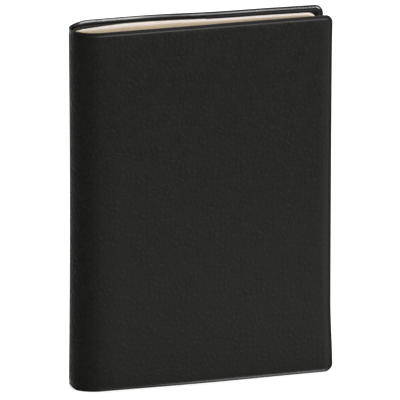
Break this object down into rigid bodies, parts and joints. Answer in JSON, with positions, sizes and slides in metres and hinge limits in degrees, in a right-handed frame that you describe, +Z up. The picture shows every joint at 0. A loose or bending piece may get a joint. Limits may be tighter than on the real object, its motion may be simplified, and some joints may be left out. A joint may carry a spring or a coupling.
{
  "type": "pocket diary",
  "caption": "Pocket diary standing upright: soft leather-look slip-on cover over a sewn refill, with covers that open and page sections that fan.",
  "frame": {"origin": "middle of the closed diary's footprint, on the surface that it stands on", "axes": "+Z up the height of the cover, -Y out of the front cover, -X out of the spine"},
  "size_m": [0.1096, 0.0192, 0.155],
  "materials": {
    "cover_skin": "black leather-look skin, fine pebble grain, satin",
    "cover_lining": "thin black film",
    "pocket_flap": "thin black film, welded on three sides",
    "cover_foam": "thin soft pad",
    "refill_card": "smooth black card",
    "endpaper": "uncoated",
    "pages": "thin cream paper",
    "spine_glue": "flexible film of glue",
    "spine_gauze": "open cotton gauze",
    "sewing_thread": "white thread"
  },
  "bodies": {
    "spine": {"cover_spine_skin": "cover_skin", "cover_spine_lining": "cover_lining", "refill_spine_card": "refill_card", "spine_gauze": "spine_gauze", "spine_glue": "spine_glue", "sewing_thread_1": "sewing_thread", "sewing_thread_2": "sewing_thread", "sewing_thread_3": "sewing_thread", "sewing_thread_4": "sewing_thread", "sewing_thread_5": "sewing_thread", "section_fold_01": "pages", "section_fold_02": "pages", "section_fold_03": "pages", "section_fold_04": "pages", "section_fold_05": "pages", "section_fold_06": "pages", "section_fold_07": "pages", "section_fold_08": "pages", "section_fold_09": "pages", "section_fold_10": "pages", "section_fold_11": "pages", "section_fold_12": "pages"},
    "front_cover": {"front_cover_skin": "cover_skin", "front_cover_foam": "cover_foam", "front_cover_lining": "cover_lining", "front_pocket_flap": "pocket_flap", "refill_front_card": "refill_card", "front_endpaper": "endpaper"},
    "back_cover": {"back_cover_skin": "cover_skin", "back_cover_foam": "cover_foam", "back_cover_lining": "cover_lining", "back_pocket_flap": "pocket_flap", "refill_back_card": "refill_card", "back_endpaper": "endpaper"},
    "pages_01": {"front_flyleaf": "endpaper", "page_section_01": "pages"},
    "pages_02": {"page_section_02": "pages"},
    "pages_03": {"page_section_03": "pages"},
    "pages_04": {"page_section_04": "pages"},
    "pages_05": {"page_section_05": "pages"},
    "pages_06": {"page_section_06": "pages"},
    "pages_07": {"page_section_07": "pages"},
    "pages_08": {"page_section_08": "pages"},
    "pages_09": {"page_section_09": "pages"},
    "pages_10": {"page_section_10": "pages"},
    "pages_11": {"page_section_11": "pages"},
    "pages_12": {"page_section_12": "pages", "back_flyleaf": "endpaper"}
  },
  "joints": [
    {"name": "front_cover_open", "type": "hinge", "parent": "spine", "child": "front_cover", "pos_m": [-0.05146, -0.00816, 0], "axis": [0, 0, -1], "range_deg": [0, 180]},
    {"name": "back_cover_open", "type": "hinge", "parent": "spine", "child": "back_cover", "pos_m": [-0.05146, 0.00816, 0], "axis": [0, 0, 1], "range_deg": [0, 180]},
    {"name": "pages_01_turn", "type": "hinge", "parent": "spine", "child": "pages_01", "pos_m": [-0.04552, -0.00668, 0], "axis": [0, 0, -1], "range_deg": [0, 84.1]},
    {"name": "pages_02_turn", "type": "hinge", "parent": "spine", "child": "pages_02", "pos_m": [-0.04466, -0.00547, 0], "axis": [0, 0, -1], "range_deg": [0, 68.8]},
    {"name": "pages_03_turn", "type": "hinge", "parent": "spine", "child": "pages_03", "pos_m": [-0.04397, -0.00425, 0], "axis": [0, 0, -1], "range_deg": [0, 53.6]},
    {"name": "pages_04_turn", "type": "hinge", "parent": "spine", "child": "pages_04", "pos_m": [-0.04346, -0.00304, 0], "axis": [0, 0, -1], "range_deg": [0, 38.3]},
    {"name": "pages_05_turn", "type": "hinge", "parent": "spine", "child": "pages_05", "pos_m": [-0.04312, -0.00184, 0], "axis": [0, 0, -1], "range_deg": [0, 23]},
    {"name": "pages_06_turn", "type": "hinge", "parent": "spine", "child": "pages_06", "pos_m": [-0.04294, -0.00063, 0], "axis": [0, 0, -1], "range_deg": [0, 7.7]},
    {"name": "pages_07_turn", "type": "hinge", "parent": "spine", "child": "pages_07", "pos_m": [-0.04294, 0.00058, 0], "axis": [0, 0, 1], "range_deg": [0, 7.7]},
    {"name": "pages_08_turn", "type": "hinge", "parent": "spine", "child": "pages_08", "pos_m": [-0.04312, 0.0018, 0], "axis": [0, 0, 1], "range_deg": [0, 23]},
    {"name": "pages_09_turn", "type": "hinge", "parent": "spine", "child": "pages_09", "pos_m": [-0.04346, 0.00302, 0], "axis": [0, 0, 1], "range_deg": [0, 38.3]},
    {"name": "pages_10_turn", "type": "hinge", "parent": "spine", "child": "pages_10", "pos_m": [-0.04397, 0.00425, 0], "axis": [0, 0, 1], "range_deg": [0, 53.6]},
    {"name": "pages_11_turn", "type": "hinge", "parent": "spine", "child": "pages_11", "pos_m": [-0.04466, 0.00547, 0], "axis": [0, 0, 1], "range_deg": [0, 68.8]},
    {"name": "pages_12_turn", "type": "hinge", "parent": "spine", "child": "pages_12", "pos_m": [-0.04552, 0.00668, 0], "axis": [0, 0, 1], "range_deg": [0, 84.1]}
  ],
  "couplings": [
    {"joint": "pages_01_turn", "follows": "front_cover_open", "ratio": 0.4667},
    {"joint": "pages_02_turn", "follows": "front_cover_open", "ratio": 0.3818},
    {"joint": "pages_03_turn", "follows": "front_cover_open", "ratio": 0.297},
    {"joint": "pages_04_turn", "follows": "front_cover_open", "ratio": 0.2121},
    {"joint": "pages_05_turn", "follows": "front_cover_open", "ratio": 0.1273},
    {"joint": "pages_06_turn", "follows": "front_cover_open", "ratio": 0.0424},
    {"joint": "pages_07_turn", "follows": "back_cover_open", "ratio": 0.0424},
    {"joint": "pages_08_turn", "follows": "back_cover_open", "ratio": 0.1273},
    {"joint": "pages_09_turn", "follows": "back_cover_open", "ratio": 0.2121},
    {"joint": "pages_10_turn", "follows": "back_cover_open", "ratio": 0.297},
    {"joint": "pages_11_turn", "follows": "back_cover_open", "ratio": 0.3818},
    {"joint": "pages_12_turn", "follows": "back_cover_open", "ratio": 0.4667}
  ]
}
